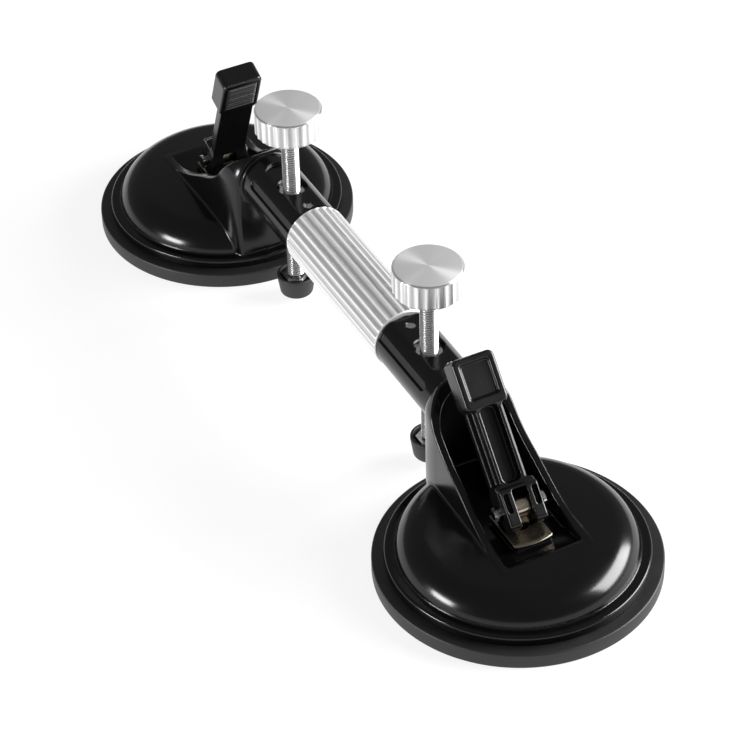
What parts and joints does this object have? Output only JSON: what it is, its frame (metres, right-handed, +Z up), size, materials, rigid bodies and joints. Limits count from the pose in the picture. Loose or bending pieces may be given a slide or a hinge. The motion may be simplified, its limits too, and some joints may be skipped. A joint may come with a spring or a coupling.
{
  "type": "vacuum seam setter",
  "caption": "Two lever suction cups joined by a fluted turnbuckle sleeve, with a knobbed press screw over each side, for drawing stone slabs together and levelling them.",
  "frame": {"origin": "on the ground plane under the suction discs, midway between the two cups", "axes": "+X along the tool from the far cup to the near cup, +Z up through the press screws"},
  "size_m": [0.502, 0.15, 0.13],
  "materials": {
    "housing_gloss": "polished moulded black, rounded shoulders",
    "disc_rubber": "matt moulded black rubber",
    "wear_steel": "bare steel plate, dulled",
    "brass": "turned, slightly tarnished",
    "plain_steel": "mill finish",
    "spring_steel": "sprung strip, oiled",
    "pin_steel": "bright plated",
    "lever_plastic": "moulded black with satin edges",
    "grip_rubber": "finely ribbed",
    "bush_steel": "turned, plated",
    "rod_steel": "bright zinc-plated thread",
    "knob_aluminium": "turned top, fluted side",
    "foot_rubber": "matt moulded black rubber",
    "cap_steel": "plated hexagon",
    "stud_steel": "rolled thread",
    "screw_steel": "bright plated",
    "sleeve_aluminium": "drawn and fluted"
  },
  "bodies": {
    "near_cup": {"near_housing": "housing_gloss", "near_rubber_disc": "disc_rubber", "near_wear_plate": "wear_steel", "near_press_bush": "bush_steel", "near_draw_stud": "stud_steel", "near_set_screw": "screw_steel", "near_return_spring": "spring_steel"},
    "near_lifter": {"near_plunger": "brass", "near_backing_plate": "plain_steel", "near_lever_pin": "pin_steel", "near_pin_clip": "spring_steel"},
    "near_flip_lever": {"near_lever": "lever_plastic", "near_lever_grip": "grip_rubber"},
    "near_foot_set": {"near_press_foot": "foot_rubber", "near_foot_cap": "cap_steel"},
    "near_screw_set": {"near_press_screw": "rod_steel", "near_press_knob": "knob_aluminium"},
    "far_cup": {"far_housing": "housing_gloss", "far_rubber_disc": "disc_rubber", "far_wear_plate": "wear_steel", "far_press_bush": "bush_steel", "far_draw_stud": "stud_steel", "far_set_screw": "screw_steel", "far_return_spring": "spring_steel"},
    "far_lifter": {"far_plunger": "brass", "far_backing_plate": "plain_steel", "far_lever_pin": "pin_steel", "far_pin_clip": "spring_steel"},
    "far_flip_lever": {"far_lever": "lever_plastic", "far_lever_grip": "grip_rubber"},
    "far_foot_set": {"far_press_foot": "foot_rubber", "far_foot_cap": "cap_steel"},
    "far_screw_set": {"far_press_screw": "rod_steel", "far_press_knob": "knob_aluminium"},
    "key_set": {"key_bar": "plain_steel", "key_collar": "brass"},
    "sleeve_set": {"sleeve": "sleeve_aluminium", "near_sleeve_insert": "stud_steel", "far_sleeve_insert": "stud_steel", "sleeve_rings": "spring_steel"}
  },
  "joints": [
    {"name": "near_plunger_lift", "type": "slide", "parent": "near_cup", "child": "near_lifter", "axis": [0, 0, 1], "range_m": [-0.00018, 0.00434], "deforming": ["near_return_spring"]},
    {"name": "near_lever_flip", "type": "hinge", "parent": "near_lifter", "child": "near_flip_lever", "pos_m": [0.176, 0, 0.04017], "axis": [0, 1, 0], "range_deg": [-5, 130]},
    {"name": "near_foot_travel", "type": "slide", "parent": "near_cup", "child": "near_foot_set", "axis": [0, 0, 1], "range_m": [-0.0045, 0.02]},
    {"name": "near_knob_turn", "type": "hinge", "parent": "near_foot_set", "child": "near_screw_set", "pos_m": [0.0815, 0, 0.1], "axis": [0, 0, 1], "range_deg": [-1079.9, 4799.9]},
    {"name": "key_slide", "type": "slide", "parent": "near_cup", "child": "key_set", "axis": [-1, 0, 0], "range_m": [0, 0.012]},
    {"name": "sleeve_turn", "type": "hinge", "parent": "key_set", "child": "sleeve_set", "pos_m": [0, 0, 0.0625], "axis": [1, 0, 0], "range_deg": [0, 2159.9]},
    {"name": "far_cup_slide", "type": "slide", "parent": "key_set", "child": "far_cup", "axis": [-1, 0, 0], "range_m": [0, 0.012]},
    {"name": "far_plunger_lift", "type": "slide", "parent": "far_cup", "child": "far_lifter", "axis": [0, 0, 1], "range_m": [-0.00084, 0.00368], "deforming": ["far_return_spring"]},
    {"name": "far_lever_flip", "type": "hinge", "parent": "far_lifter", "child": "far_flip_lever", "pos_m": [-0.176, 0, 0.04083], "axis": [0, -1, 0], "range_deg": [-25, 110]},
    {"name": "far_foot_travel", "type": "slide", "parent": "far_cup", "child": "far_foot_set", "axis": [0, 0, 1], "range_m": [-0.0045, 0.02]},
    {"name": "far_knob_turn", "type": "hinge", "parent": "far_foot_set", "child": "far_screw_set", "pos_m": [-0.0815, 0, 0.1], "axis": [0, 0, 1], "range_deg": [-1079.9, 4799.9]}
  ],
  "couplings": [
    {"joint": "near_plunger_lift", "follows": "near_lever_flip", "m_per_rad": 0.0019099},
    {"joint": "near_foot_travel", "follows": "near_knob_turn", "m_per_rad": 0.00023873},
    {"joint": "key_slide", "follows": "sleeve_turn", "m_per_rad": 0.00031831},
    {"joint": "far_cup_slide", "follows": "sleeve_turn", "m_per_rad": 0.00031831},
    {"joint": "far_plunger_lift", "follows": "far_lever_flip", "m_per_rad": 0.0019099},
    {"joint": "far_foot_travel", "follows": "far_knob_turn", "m_per_rad": 0.00023873}
  ]
}
